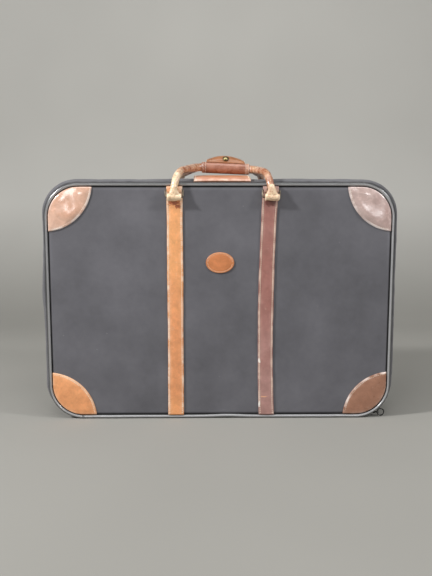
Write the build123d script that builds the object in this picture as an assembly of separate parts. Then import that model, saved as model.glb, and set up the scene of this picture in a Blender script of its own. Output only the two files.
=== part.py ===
from build123d import *

import math
import os

# Soft-sided zip suitcase, standing on its long bottom side.
# The front faces -Y, +X is to the right and the floor is z = 0. All sizes are millimetres.
# The body is a deep fabric band with a stiff rear panel. The front panel is the lid, held by
# a zip round three sides and a cloth fold along the bottom.

# Overall form
CASE_W = 700.0
CASE_H = 481.0
CASE_D = 200.0
CORNER_R = 70.0
PIPING_D = 7.0

# Panels, boards and linings, from the outside in
PANEL_T = 5.0
PANEL_RECESS = 2.5
PANEL_EDGE_R = 3.0
BOARD_T = 3.0
BOARD_INSET = 9.0
LINING_T = 1.0
LINING_INSET = 8.8
LINING_BASE_Z = 6.0

# Fabric band round the case, which bulges between its two seams
BAND_T = 2.5
SEAM_INSET = 1.5
SIDE_BULGE = 19.5
TOP_BULGE = 11.0
BULGE_POWER = 0.4
BAND_SECTIONS = 7

# Stiffeners inside the band
HOOP_D = 3.0
MOUTH_HOOP_SETBACK = 30.0
REAR_HOOP_SETBACK = 16.0
HOOP_INSET = 5.5
HOOP_BASE_Z = 2.75
BASE_BOARD_T = 3.0
BASE_BOARD_END_GAP = 20.0

# Zip: each half is a row of teeth on a narrow tape
TEETH_W = 2.6
TEETH_T = 2.6
TEETH_INSET = 1.6
TEETH_SLIT = 1.2
TAPE_T = 1.0
TAPE_W_CASE = 9.0
TAPE_W_LID = 4.2
ZIP_BEHIND_PIPING = 5.0
ZIP_END_ANGLE = 52.0
FOLD_END_ANGLE = 64.0
FOLD_T = 1.5

# Slider, pull tab and ring
SLIDER_ANGLE = 57.0
SLIDER_L = 11.0
SLIDER_W = 7.6
SLIDER_T = 2.6
SLIDER_GAP = 0.4
SLIDER_LOWER_T = 1.6
SLIDER_LOWER_W = 7.0
SLIDER_POST_T = 0.7
SLIDER_POST_L = 5.0
SLIDER_EAR_T = 1.0
SLIDER_EAR_W = 4.0
PULL_PIN_H = 1.8
PULL_PIN_D = 1.4
PULL_PIN_GAP = 0.2
PULL_EYE_R = 1.6
PULL_EYE_W = 4.2
PULL_TAB_T = 1.2
PULL_TAB_W = 6.0
PULL_TAB_L = 7.5
RING_MAJOR_R = 7.0
RING_WIRE_R = 1.0
RING_HOLE_R = 1.6

# Leather straps with a split end, and the metal loops they carry
STRAP_SPAN = 191.0
STRAP_SHIFT = 5.0
STRAP_W = 32.0
STRAP_T = 3.0
STRAP_EDGE_R = 1.0
LUG_W = 7.0
LUG_H = 12.5
LUG_T = 6.5
LUG_EDGE_R = 1.5
LOOP_W = 34.0
LOOP_WIRE_D = 3.0
LOOP_CORNER_R = 2.5
LOOP_END_OUT = 8.5
LOOP_TOP_BELOW = 15.0
HANDLE_PIVOT_BELOW = 29.0

# Leather corners and badge
CORNER_PATCH_R = 97.0
CORNER_PATCH_T = 2.0
BADGE_W = 56.6
BADGE_H = 41.7
BADGE_T = 2.5
BADGE_EDGE_R = 0.8
BADGE_CENTRE_BELOW = 159.0

# Rolled leather handles
TUBE_D = 14.6
ROLL_D = 14.0
ROLL_W = 29.0
HANDLE_RISE = 19.0
HANDLE_NECK_R = 27.0
GRIP_CENTRE_ABOVE = 31.0
GRIP_SHIFT = 13.0
GRIP_L = 100.0
GRIP_D = 21.0
GRIP_BORE_GAP = 0.1
GRIP_BEND_R = 11.0
GRIP_BEND_OUT = 9.0
RUNNING_GAP = 0.3

# Leather tongue that joins the two grips, and its snap
TONGUE_T = 2.4
TONGUE_HALF_L = 40.0
TONGUE_CREST = 25.0
TONGUE_END_CREST = 15.5
TONGUE_REAR_DROP = 5.0
TONGUE_FRONT_ANGLE = 118.0
SNAP_D = 13.0
SNAP_H = 3.2
SNAP_EDGE_R = 2.0
STUD_D = 4.0
STUD_H = 2.2

# Leather patch across the top of the band, under the grips
TOP_PATCH_W = 114.0
TOP_PATCH_T = 3.5
TOP_PATCH_LIFT = 3.0
TOP_PATCH_GAP = 0.35
TOP_PATCH_END_GAP = 0.3

# Places worked out from the sizes above
FRONT_Y = -CASE_D / 2
REAR_Y = CASE_D / 2
PIPING_R = PIPING_D / 2
PANEL_INSET = PIPING_D + RUNNING_GAP
PANEL_FACE_Y = FRONT_Y + PANEL_RECESS
PANEL_BACK_Y = PANEL_FACE_Y + PANEL_T
BOARD_BACK_Y = PANEL_BACK_Y + BOARD_T
LINING_BACK_Y = BOARD_BACK_Y + LINING_T
PIPING_BACK_Y = FRONT_Y + PIPING_D
ZIP_Y = PIPING_BACK_Y + ZIP_BEHIND_PIPING
BAND_FRONT_Y = ZIP_Y + TEETH_SLIT / 2 + TEETH_W + 0.2
BAND_REAR_Y = REAR_Y - PIPING_D
BAND_MID_Y = (BAND_FRONT_Y + BAND_REAR_Y) / 2
BAND_HALF = (BAND_REAR_Y - BAND_FRONT_Y) / 2
TRAY_FRONT_Y = BAND_FRONT_Y + 6.0
CORNER_X = CASE_W / 2 - CORNER_R
STRAP_X = (STRAP_SHIFT - STRAP_SPAN / 2, STRAP_SHIFT + STRAP_SPAN / 2)
STRAP_FACE_Y = PANEL_FACE_Y - STRAP_T
TUBE_Y = STRAP_FACE_Y - TUBE_D / 2 - RUNNING_GAP
PIVOT_Z = CASE_H - HANDLE_PIVOT_BELOW
GRIP_Y = -GRIP_D / 2 - RUNNING_GAP
GRIP_Z = CASE_H + GRIP_CENTRE_ABOVE
SIDES = ("left", "right")


def rounded_sheet(inset, base_z, y):
    """Rounded rectangle of the front outline, taken in by inset, with its lower edge at base_z."""
    width = CASE_W - 2 * inset
    height = CASE_H - inset - base_z
    shape = RectangleRounded(width, height, CORNER_R - inset)
    return Plane.XZ.offset(-y) * Pos(0, base_z + height / 2) * shape


def slab(inset, base_z, y_front, y_back):
    return extrude(rounded_sheet(inset, base_z, y_back), y_back - y_front)


def hoop_of(outer_inset, outer_base, thickness, y_front, y_back):
    """Flat band of the given thickness that follows the outline all round."""
    outer = slab(outer_inset, outer_base, y_front, y_back)
    inner = slab(outer_inset + thickness, outer_base + thickness, y_front - 1, y_back + 1)
    return outer - inner


def below_corner_angle(angle, y_front, y_back):
    """Block under lines that leave both lower corner centres at an angle below level."""
    reach = 2 * CORNER_R
    x_out = CORNER_X + reach * math.cos(math.radians(angle))
    z_out = CORNER_R - reach * math.sin(math.radians(angle))
    points = [(-CORNER_X, CORNER_R), (CORNER_X, CORNER_R), (x_out, z_out), (x_out, -reach)]
    points += [(-x_out, -reach), (-x_out, z_out)]
    face = Plane.XZ.offset(-y_back) * make_face(Polyline(*points, close=True))
    return extrude(face, y_back - y_front)


def wire_loop(inset, base_z, y, diameter):
    """Round rod bent to the outline, its centre line at the given inset and height."""
    path = rounded_sheet(inset, base_z, y).face().outer_wire()
    section = Plane(origin=path @ 0, z_dir=path % 0) * Circle(diameter / 2)
    return sweep(section, path=path)


def to_rear(shape):
    return mirror(shape, Plane.XZ)


def bulge_share(y):
    """Share of the full bulge at depth y: none at both seams, all of it in the middle."""
    from_middle = (y - BAND_MID_Y) / BAND_HALF
    return max(0.0, 1 - from_middle**2) ** BULGE_POWER


def band_top(y):
    return CASE_H - SEAM_INSET + TOP_BULGE * bulge_share(y)


def band_section(y, shrink):
    """Cross section of the fabric band at depth y, shrunk inward. Its underside stays flat."""
    side = SEAM_INSET + shrink - SIDE_BULGE * bulge_share(y)
    top = band_top(y) - shrink
    radius = CORNER_R - side
    shape = RectangleRounded(CASE_W - 2 * side, top - shrink, radius)
    return Plane.XZ.offset(-y) * Pos(0, (top + shrink) / 2) * shape


def band_depths():
    """Depths of the band's sections, closer together near the seams where it curves most."""
    steps = BAND_SECTIONS - 1
    return [BAND_MID_Y - BAND_HALF * math.cos(math.pi * i / steps) for i in range(BAND_SECTIONS)]


def case_band():
    depths = band_depths()
    outer = loft([band_section(y, 0) for y in depths])
    inner = loft([band_section(y, BAND_T) for y in depths])
    floor_zone = Pos(0, BAND_MID_Y, 0) * Box(2 * CORNER_X, 3 * BAND_HALF, 4 * BAND_T)
    return outer - inner - floor_zone


def case_base():
    """Flat bottom strip of the band, between the lower corners."""
    corner = (Align.CENTER, Align.MIN, Align.MIN)
    return Pos(0, BAND_FRONT_Y, 0) * Box(2 * CORNER_X, 2 * BAND_HALF, BAND_T, align=corner)


def front_panel():
    panel = slab(PANEL_INSET, PANEL_INSET, PANEL_FACE_Y, PANEL_BACK_Y)
    return fillet(panel.faces().sort_by(Axis.Y)[0].edges(), PANEL_EDGE_R)


def front_board():
    return slab(BOARD_INSET, BOARD_INSET, PANEL_BACK_Y, BOARD_BACK_Y)


def rear_board():
    """Rear stiffener, wider than the lid's because no zip runs past it."""
    inset = SEAM_INSET + BAND_T + RUNNING_GAP
    return to_rear(slab(inset, BAND_T + RUNNING_GAP, PANEL_BACK_Y, BOARD_BACK_Y))


def front_lining():
    return slab(BOARD_INSET, BOARD_INSET, BOARD_BACK_Y, LINING_BACK_Y)


def case_lining():
    """Open tray of lining cloth that hangs straight inside the band."""
    tray_back = -BOARD_BACK_Y
    outer = slab(LINING_INSET, LINING_BASE_Z, TRAY_FRONT_Y, tray_back)
    hollow_inset = LINING_INSET + LINING_T
    hollow = slab(hollow_inset, LINING_BASE_Z + LINING_T, TRAY_FRONT_Y - 1, tray_back - LINING_T)
    return outer - hollow


def piping():
    return wire_loop(PIPING_R, PIPING_R, FRONT_Y + PIPING_R, PIPING_D)


def stiffening_hoop(y):
    return wire_loop(HOOP_INSET + HOOP_D / 2, HOOP_BASE_Z + HOOP_D / 2, y, HOOP_D)


def base_board():
    front = FRONT_Y + MOUTH_HOOP_SETBACK + HOOP_D / 2 + 2.0
    rear = REAR_Y - REAR_HOOP_SETBACK - HOOP_D / 2 - 2.0
    length = 2 * (CORNER_X + BASE_BOARD_END_GAP)
    corner = (Align.CENTER, Align.MIN, Align.MIN)
    board = Box(length, rear - front, BASE_BOARD_T, align=corner)
    placed = Pos(0, front, BAND_T + RUNNING_GAP / 2) * board
    return placed & slab(HOOP_INSET, BAND_T, front, rear)


def zip_half(teeth_front, tape_front, tape_back):
    """Row of teeth standing on its tape, open across the bottom."""
    teeth_back = teeth_front + TEETH_W
    teeth = hoop_of(TEETH_INSET, TEETH_INSET, TEETH_T, teeth_front, teeth_back)
    tape_inset = TEETH_INSET + TEETH_T
    tape = hoop_of(tape_inset, tape_inset, TAPE_T, tape_front, tape_back)
    return teeth + tape - below_corner_angle(ZIP_END_ANGLE, tape_front - 1, tape_back + 1)


def zip_case_half():
    front = ZIP_Y + TEETH_SLIT / 2
    return zip_half(front, front, front + TAPE_W_CASE)


def zip_lid_half():
    back = ZIP_Y - TEETH_SLIT / 2
    return zip_half(back - TEETH_W, back - TAPE_W_LID, back)


def hinge_fold():
    """Cloth fold between lid and case, along the bottom and a little way round its corners."""
    front = PIPING_BACK_Y + 2 * RUNNING_GAP
    back = BAND_FRONT_Y - RUNNING_GAP
    strip = hoop_of(1.0, 0.4, FOLD_T, front, back)
    return strip & below_corner_angle(FOLD_END_ANGLE, front - 1, back + 1)


def at_slider_angle(shape):
    """Turn a piece made at the level side of the lower right corner down to the slider's rest."""
    return shape.rotate(Axis((CORNER_X, 0, CORNER_R), (0, 1, 0)), SLIDER_ANGLE)


def pull_pin_radius():
    """Distance of the pull's pin from the centre of the corner."""
    return CORNER_R - TEETH_INSET + SLIDER_GAP + SLIDER_T + PULL_PIN_H


def pull_pin_place():
    angle = math.radians(SLIDER_ANGLE)
    reach = pull_pin_radius()
    return CORNER_X + reach * math.cos(angle), CORNER_R - reach * math.sin(angle)


def zip_slider():
    """Two plates round the teeth, joined by a thin post, with ears and a pin for the pull."""
    teeth_x = CASE_W / 2 - TEETH_INSET
    plate_x = teeth_x + SLIDER_GAP
    low_x = teeth_x - TEETH_T - TAPE_T - SLIDER_GAP
    rise = (Align.MIN, Align.CENTER, Align.CENTER)
    drop = (Align.MAX, Align.CENTER, Align.CENTER)
    upper = Pos(plate_x, ZIP_Y - 0.7, CORNER_R) * Box(SLIDER_T, SLIDER_W, SLIDER_L, align=rise)
    upper = fillet(upper.edges().filter_by(Axis.X), 1.5)
    lower = Pos(low_x, ZIP_Y, CORNER_R) * Box(SLIDER_LOWER_T, SLIDER_LOWER_W, SLIDER_L - 1, align=drop)
    post_l = plate_x - low_x + 1
    post = Pos(low_x - 0.5, ZIP_Y, CORNER_R) * Box(post_l, SLIDER_POST_T, SLIDER_POST_L, align=rise)
    body = upper + lower + post
    pin_x = plate_x + SLIDER_T + PULL_PIN_H
    ear_h = PULL_PIN_H + PULL_PIN_D
    for side in (-1, 1):
        ear_y = ZIP_Y + side * (PULL_EYE_W / 2 + RUNNING_GAP + SLIDER_EAR_T / 2)
        ear = Pos(plate_x + SLIDER_T - 0.5, ear_y, CORNER_R)
        body += ear * Box(ear_h + 0.5, SLIDER_EAR_T, SLIDER_EAR_W, align=rise)
    pin_l = PULL_EYE_W + 2 * RUNNING_GAP + 2 * SLIDER_EAR_T
    pin = Pos(pin_x, ZIP_Y, CORNER_R) * Rot(90, 0, 0) * Cylinder(PULL_PIN_D / 2, pin_l)
    return at_slider_angle(body + pin)


def zip_tab():
    """Short flat tab that points to the right from the slider's pin."""
    pin_x, pin_z = pull_pin_place()
    eye = Rot(90, 0, 0) * Cylinder(PULL_EYE_R, PULL_EYE_W)
    start = PULL_EYE_R * 0.5
    length = PULL_TAB_L + RING_HOLE_R + 1.2
    rise = (Align.MIN, Align.CENTER, Align.CENTER)
    neck = Pos(start, 0, 0) * Box(4.0, PULL_EYE_W, PULL_TAB_T, align=rise)
    blade = Pos(4.2, 0, 0) * Box(length - 4.2, PULL_TAB_W, PULL_TAB_T, align=rise)
    blade = fillet(blade.edges().filter_by(Axis.Z), 1.4)
    tab = eye + neck + blade
    tab -= Rot(90, 0, 0) * Cylinder(PULL_PIN_D / 2 + PULL_PIN_GAP, 2 * PULL_EYE_W)
    tab -= Pos(PULL_TAB_L, 0, 0) * Cylinder(RING_HOLE_R, 4 * PULL_TAB_T)
    return Pos(pin_x, ZIP_Y, pin_z) * tab


def zip_ring():
    pin_x, pin_z = pull_pin_place()
    centre_x = pin_x + PULL_TAB_L + RING_MAJOR_R
    return Pos(centre_x, ZIP_Y, pin_z) * Rot(90, 0, 0) * Torus(RING_MAJOR_R, RING_WIRE_R)


def loop_top():
    """Depth and height of the ends of a metal loop."""
    return STRAP_FACE_Y - LUG_T / 2, CASE_H - LOOP_TOP_BELOW


def front_strap(x):
    """Strap down the panel. Its split upper end makes two lugs, folded round the loop's bar."""
    low_z = PANEL_INSET + 0.3
    high_z = CASE_H - PANEL_INSET - 0.3
    middle_z = (low_z + high_z) / 2
    body = Box(STRAP_W, STRAP_T, high_z - low_z)
    body = fillet(body.faces().sort_by(Axis.Y)[0].edges().filter_by(Axis.Z), STRAP_EDGE_R)
    strap = Pos(x, PANEL_FACE_Y - STRAP_T / 2, middle_z) * body
    lug_x = TUBE_D / 2 + 2 * RUNNING_GAP + LUG_W / 2
    for side in (-1, 1):
        lug = Box(LUG_W, LUG_T + 1, LUG_H, align=(Align.CENTER, Align.MIN, Align.MAX))
        lug = fillet(lug.faces().sort_by(Axis.Y)[0].edges().filter_by(Axis.X), LUG_EDGE_R)
        strap += Pos(x + side * lug_x, STRAP_FACE_Y - LUG_T, high_z) * lug
    bar_y, bar_z = loop_top()
    bore = Cylinder(LOOP_WIRE_D / 2 + 0.1, LOOP_W)
    return strap - Pos(x, bar_y, bar_z) * Rot(0, 90, 0) * bore


def metal_loop(x):
    """Wire loop: its lower bar is in the handle's end, its turned-in ends are in the lugs."""
    bar_y, bar_z = loop_top()
    outer = LOOP_W / 2
    points = [
        (x - LOOP_END_OUT, bar_y, bar_z),
        (x - outer, bar_y, bar_z),
        (x - outer, TUBE_Y, PIVOT_Z),
        (x + outer, TUBE_Y, PIVOT_Z),
        (x + outer, bar_y, bar_z),
        (x + LOOP_END_OUT, bar_y, bar_z),
    ]
    path = FilletPolyline(*points, radius=LOOP_CORNER_R)
    section = Plane(origin=path @ 0, z_dir=path % 0) * Circle(LOOP_WIRE_D / 2)
    return sweep(section, path=path)


def corner_patch(side, high):
    """Leather corner: the panel's corner inside an arc centred on the outline's own corner."""
    centre_z = CASE_H if high else 0.0
    disc = Pos(side * CASE_W / 2, PANEL_FACE_Y - CORNER_PATCH_T, centre_z)
    disc = disc * Rot(-90, 0, 0) * Cylinder(CORNER_PATCH_R, 4 * CORNER_PATCH_T)
    inset = PANEL_INSET + PANEL_EDGE_R / 2
    return disc & slab(inset, inset, PANEL_FACE_Y - CORNER_PATCH_T, PANEL_FACE_Y)


def badge():
    blank = Plane.XZ.offset(-PANEL_FACE_Y) * Pos(0, CASE_H - BADGE_CENTRE_BELOW)
    plate = extrude(blank * Ellipse(BADGE_W / 2, BADGE_H / 2), BADGE_T)
    return fillet(plate.faces().sort_by(Axis.Y)[0].edges(), BADGE_EDGE_R)


def handle_points():
    """Corners of a handle's centre line, from the left end over the case to the right end."""
    left_x, right_x = STRAP_X
    neck_z = CASE_H + HANDLE_RISE
    return [
        (left_x, TUBE_Y, PIVOT_Z),
        (left_x, TUBE_Y, neck_z),
        (GRIP_SHIFT - GRIP_L / 2 - GRIP_BEND_OUT, GRIP_Y, GRIP_Z),
        (GRIP_SHIFT + GRIP_L / 2 + GRIP_BEND_OUT, GRIP_Y, GRIP_Z),
        (right_x, TUBE_Y, neck_z),
        (right_x, TUBE_Y, PIVOT_Z),
    ]


def front_handle():
    """Rolled leather tube, bent over the case's edge. Its ends are wrapped round the loops."""
    radii = [HANDLE_NECK_R, GRIP_BEND_R, GRIP_BEND_R, HANDLE_NECK_R]
    path = FilletPolyline(*handle_points(), radius=radii)
    section = Plane(origin=path @ 0, z_dir=path % 0) * Circle(TUBE_D / 2)
    handle = sweep(section, path=path)
    for x in STRAP_X:
        end = Pos(x, TUBE_Y, PIVOT_Z) * Rot(0, 90, 0)
        roll = Cylinder(ROLL_D / 2, ROLL_W)
        handle += end * fillet(roll.edges(), 1.5)
    for x in STRAP_X:
        end = Pos(x, TUBE_Y, PIVOT_Z) * Rot(0, 90, 0)
        handle -= end * Cylinder(LOOP_WIRE_D / 2 + RUNNING_GAP, 2 * ROLL_W)
    return handle


def front_grip():
    """Leather sleeve sewn round the middle of a handle."""
    sleeve = Cylinder(GRIP_D / 2, GRIP_L) - Cylinder(TUBE_D / 2 + GRIP_BORE_GAP, 2 * GRIP_L)
    return Pos(GRIP_SHIFT, GRIP_Y, GRIP_Z) * Rot(0, 90, 0) * sleeve


def tongue_underside(along):
    """Points across the tongue's underside and their outward normals, at one place along it.
    It starts behind the rear grip, arches over both and comes down on top of the front one."""
    crest = TONGUE_CREST - (TONGUE_CREST - TONGUE_END_CREST) * along**2 - TONGUE_T
    rear = GRIP_D + 2 * RUNNING_GAP
    front_angle = math.radians(TONGUE_FRONT_ANGLE)
    reach = GRIP_D / 2 + RUNNING_GAP
    front_y = GRIP_Y + reach * math.cos(front_angle)
    front_z = reach * math.sin(front_angle)
    points = [
        (rear, -TONGUE_REAR_DROP),
        (rear * 0.955, crest * 0.22 + 2.0),
        (rear * 0.52, crest * 0.66 + 4.3),
        (rear * 0.04, crest),
        (front_y * 0.60, front_z + 0.62 * (crest - front_z)),
        (front_y, front_z),
    ]
    curve = Spline(*points)
    normals = []
    for y, z in points:
        along_curve = curve % curve.param_at_point((y, z))
        normals.append((along_curve.Y, -along_curve.X))
    return points, normals


def tongue_section(along):
    points, normals = tongue_underside(along)
    over = [(y + TONGUE_T * ny, z + TONGUE_T * nz) for (y, z), (ny, nz) in zip(points, normals)]
    edges = [Spline(*points), Line(points[-1], over[-1]), Spline(*over), Line(over[0], points[0])]
    place = Plane.YZ.offset(GRIP_SHIFT + along * TONGUE_HALF_L) * Pos(0, GRIP_Z)
    return place * make_face(edges)


def grip_tongue():
    return loft([tongue_section(along) for along in (-1, -0.5, 0, 0.5, 1)])


def snap_frame():
    """Plane on the tongue's outer face where the snap sits, its z axis pointing outward."""
    points, normals = tongue_underside(0)
    (y, z), (ny, nz) = points[-2], normals[-2]
    seat = Vector(GRIP_SHIFT, y + TONGUE_T * ny, GRIP_Z + z + TONGUE_T * nz)
    return Plane(origin=seat, x_dir=(1, 0, 0), z_dir=(0, ny, nz))


def snap_cap():
    """Round brass cap with a rolled edge."""
    cap = Cylinder(SNAP_D / 2, SNAP_H, align=(Align.CENTER, Align.CENTER, Align.MIN))
    cap = fillet(cap.faces().sort_by(Axis.Z)[-1].edges(), SNAP_EDGE_R)
    return snap_frame() * cap


def snap_stud():
    """Stud on the front grip, under the tongue."""
    foot_z = GRIP_Z + GRIP_D / 2
    stud = Cylinder(STUD_D / 2, STUD_H, align=(Align.CENTER, Align.CENTER, Align.MIN))
    return Pos(GRIP_SHIFT, GRIP_Y, foot_z) * stud


def top_patch():
    """Leather patch that lies across the top of the band from seam to seam."""
    reach = (BAND_HALF - TOP_PATCH_END_GAP) / BAND_HALF
    under = []
    over = []
    for depth in band_depths():
        y = BAND_MID_Y + (depth - BAND_MID_Y) * reach
        z = band_top(depth) + TOP_PATCH_GAP + TOP_PATCH_LIFT * bulge_share(depth)
        under.append((y, z))
        over.append((y, z + TOP_PATCH_T))
    edges = [Spline(*under), Line(under[-1], over[-1]), Spline(*over), Line(over[0], under[0])]
    face = Plane.YZ.offset(STRAP_SHIFT - TOP_PATCH_W / 2) * make_face(edges)
    return extrude(face, TOP_PATCH_W)


def all_nodes():
    nodes = {
        "case_band": case_band(),
        "case_base": case_base(),
        "case_lining": case_lining(),
        "base_board": base_board(),
        "mouth_hoop": stiffening_hoop(FRONT_Y + MOUTH_HOOP_SETBACK),
        "rear_hoop": stiffening_hoop(REAR_Y - REAR_HOOP_SETBACK),
        "rear_panel": to_rear(front_panel()),
        "rear_board": rear_board(),
        "rear_piping": to_rear(piping()),
        "zip_case_half": zip_case_half(),
        "hinge_fold": hinge_fold(),
        "top_patch": top_patch(),
        "front_panel": front_panel(),
        "front_board": front_board(),
        "front_lining": front_lining(),
        "front_piping": piping(),
        "zip_lid_half": zip_lid_half(),
        "badge": badge(),
        "front_handle": front_handle(),
        "rear_handle": to_rear(front_handle()),
        "front_grip": front_grip(),
        "rear_grip": to_rear(front_grip()),
        "grip_tongue": grip_tongue(),
        "snap_cap": snap_cap(),
        "snap_stud": snap_stud(),
        "zip_slider": zip_slider(),
        "zip_tab": zip_tab(),
        "zip_ring": zip_ring(),
    }
    for side, x in zip(SIDES, STRAP_X):
        nodes["front_strap_" + side] = front_strap(x)
        nodes["rear_strap_" + side] = to_rear(front_strap(x))
        nodes["front_loop_" + side] = metal_loop(x)
        nodes["rear_loop_" + side] = to_rear(metal_loop(x))
    for side, sign in zip(SIDES, (-1, 1)):
        for level, high in (("top", True), ("bottom", False)):
            patch = corner_patch(sign, high)
            nodes["front_corner_" + level + "_" + side] = patch
            nodes["rear_corner_" + level + "_" + side] = to_rear(patch)
    return nodes


os.makedirs("parts", exist_ok=True)
for name, shape in all_nodes().items():
    export_step(shape, "parts/" + name + ".step")
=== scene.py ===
import math

import bpy
import numpy as np
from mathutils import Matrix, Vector


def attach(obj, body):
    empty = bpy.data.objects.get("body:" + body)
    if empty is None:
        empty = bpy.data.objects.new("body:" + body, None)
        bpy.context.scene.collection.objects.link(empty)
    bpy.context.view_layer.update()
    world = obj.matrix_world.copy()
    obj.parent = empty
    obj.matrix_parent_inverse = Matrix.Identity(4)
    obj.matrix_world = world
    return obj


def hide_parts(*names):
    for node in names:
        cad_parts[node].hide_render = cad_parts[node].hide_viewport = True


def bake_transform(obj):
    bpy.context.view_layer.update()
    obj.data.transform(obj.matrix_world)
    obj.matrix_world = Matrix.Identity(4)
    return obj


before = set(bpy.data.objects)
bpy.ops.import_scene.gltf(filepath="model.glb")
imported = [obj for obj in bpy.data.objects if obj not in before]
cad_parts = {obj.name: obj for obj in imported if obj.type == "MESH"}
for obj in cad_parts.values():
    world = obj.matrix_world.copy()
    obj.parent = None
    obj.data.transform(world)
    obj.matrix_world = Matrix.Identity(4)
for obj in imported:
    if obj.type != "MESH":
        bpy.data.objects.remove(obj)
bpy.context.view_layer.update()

# Sizes are millimetres and become metres when a mesh is made. Lights and camera stand in metres.
MM = 0.001
CASE_W = 700.0
CASE_H = 481.0
CORNER_R = 70.0
FACE_OUT = 97.5
CROWN_HALF_W = 343.0
CROWN_HALF_H = 233.0
PANEL_BACK = 92.6
PIPING_INSET = 3.5
PIPING_OUT = 96.5
PIPING_R = 3.45
ZIP_INSET = 2.9
FOLD_INSET = 1.0
PANEL_INSET = 7.4
BAND_FRONT = -84.6
BAND_REAR = 93.0
SIDE_BULGE = 19.5
TOP_BULGE = 11.0
BAND_MID = (BAND_FRONT + BAND_REAR) / 2
BAND_HALF = (BAND_REAR - BAND_FRONT) / 2
BULGE_POWER = 0.4
SEAM_INSET = 1.5
CLOTH_T = 2.2
TOOTH_PITCH = 2.6
ZIP_END_ANGLE = -51.5
FOLD_END_ANGLE = -64
STRAP_X = (-90.5, 100.5)
STRAP_TOP = 473.2
STRAP_LOW = 7.8
LUG_OUT = 103.75
LUG_Z = 467.2
LEATHER_GAP = 0.05
CORNER_PATCH_R = 97.0
CORNER_STITCH_R = 93.2
CORNER_INSET = 8.6
BADGE_Z = 322
BADGE_HALF_W = 28.3
BADGE_HALF_H = 20.8
BADGE_SEAM = 0.875
PATCH_MID = 4.5
PATCH_HALF = 57
TUBE_OUT = 108.1
TUBE_R = 7.3
PIVOT_Z = 452.0
GRIP_Z = 512.0
GRIP_OUT = 10.8
GRIP_MID = 13.0
GRIP_LEAN = 0.045
TONGUE_HALF = 40.0
TONGUE_ROWS = 60
FRONT, REAR = -1, 1
SIDE_NAME = {FRONT: "front", REAR: "rear"}
SIDE_BODY = {FRONT: "lid", REAR: "case"}


def put(name, data):
    """A new object in the scene."""
    obj = bpy.data.objects.new(name, data)
    bpy.context.scene.collection.objects.link(obj)
    return obj


# Shapes made of points and faces

class Shape:
    """Points, faces, texture places and two values per point, edge and tone, gathered before a mesh is made.
    Leather reads them as wear and colour, which on the grips and the top patch is painted light and shade;
    cloth reads them as painted shade and painted highlight.
    """

    def __init__(self):
        self.points, self.faces, self.uv, self.edge, self.tone = [], [], [], [], []
        self.count = 0

    def add(self, points, faces, uv=None, edge=0.0, tone=0.0):
        points = np.asarray(points, float).reshape(-1, 3)
        n = len(points)
        first = self.count
        self.points.append(points)
        self.uv.append(points[:, [0, 2]] if uv is None else np.asarray(uv, float).reshape(-1, 2))
        self.edge.append(np.broadcast_to(np.ravel(edge), n))
        self.tone.append(np.broadcast_to(np.ravel(tone), n))
        self.faces += [tuple(first + i for i in f) for f in faces]
        self.count += n
        return first

    def grid(self, rows, uv=None, edge=0.0, tone=0.0, around=False, flip=False):
        """A net of quads. With around, each row is a closed loop."""
        rows = np.asarray(rows, float)
        n, m = rows.shape[:2]
        faces = []
        for i in range(n - 1):
            for j in range(m if around else m - 1):
                k = (j + 1) % m
                quad = (i * m + j, i * m + k, (i + 1) * m + k, (i + 1) * m + j)
                faces.append(quad[::-1] if flip else quad)
        edge, tone = np.broadcast_to(edge, (n, m)), np.broadcast_to(tone, (n, m))
        first = self.add(rows, faces, uv, edge, tone)
        return first + np.arange(n * m).reshape(n, m)

    def bridge(self, a, b, around=False):
        """Quads between two rows of points that are already there."""
        m = len(a)
        for j in range(m if around else m - 1):
            k = (j + 1) % m
            self.faces.append((int(a[j]), int(b[j]), int(b[k]), int(a[k])))

    def sheet(self, top, under, uv, edge, tone, under_tone):
        """An upper net, an under one and the four rims between them."""
        a = self.grid(top, uv, edge, tone)
        b = self.grid(under, uv, 0, under_tone, flip=True)
        self.bridge(a[0], b[0])
        self.bridge(b[-1], a[-1])
        self.bridge(b[:, 0], a[:, 0])
        self.bridge(a[:, -1], b[:, -1])

    def shell(self, outer, inner, uv=None, edge=0.0, around=False):
        """Two nets back to back, joined along their first and last rows."""
        a = self.grid(outer, uv, edge, around=around)
        b = self.grid(inner, uv, around=around, flip=True)
        self.bridge(b[0], a[0], around)
        self.bridge(a[-1], b[-1], around)

    def cap(self, loop):
        self.faces.append(tuple(int(i) for i in loop))

    def piece(self, name, material, body, nodes=(), smooth=True, flip=False):
        points = np.concatenate(self.points) * MM
        faces = [f[::-1] for f in self.faces] if flip else self.faces
        mesh = bpy.data.meshes.new(name)
        mesh.from_pydata(points.tolist(), [], faces)
        mesh.validate()
        mesh.shade_smooth() if smooth else mesh.shade_flat()
        layer = mesh.uv_layers.new(name="UVMap")
        corner = np.empty(len(mesh.loops), np.int32)
        mesh.loops.foreach_get("vertex_index", corner)
        uv = np.concatenate(self.uv) * MM
        layer.data.foreach_set("uv", uv[corner].astype(np.float32).ravel())
        for label, values in (("edge", self.edge), ("tone", self.tone)):
            attribute = mesh.attributes.new(label, "FLOAT", "POINT")
            attribute.data.foreach_set("value", np.concatenate(values).astype(np.float32))
        obj = put(name, mesh)
        mesh.materials.append(material)
        if body:
            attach(obj, body)
        if nodes:
            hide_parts(*nodes)
        return obj


def swell(points, seed, wavelength, stretch=(1, 1, 1)):
    """Smooth random height, about -1 to 1, at each point."""
    rng = np.random.default_rng(seed)
    points = points / np.array(stretch, float)
    total = 0.0
    for _ in range(7):
        direction = unit(rng.normal(size=3))
        length = wavelength * rng.uniform(0.6, 1.5)
        total = total + np.sin(points @ direction * 2 * math.pi / length + rng.uniform(0, 6.28))
    return total / 3.2


def at(*parts):
    """Points from arrays or numbers, one for each coordinate, broadcast together."""
    return np.stack(np.broadcast_arrays(*parts), -1)


def unit(vector):
    return vector / np.linalg.norm(vector)


def bell(x, middle, width):
    return np.exp(-((x - middle) / width) ** 2)


def circle(n):
    """Angles of n points evenly round a circle."""
    return np.arange(n) * 2 * math.pi / n


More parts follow.
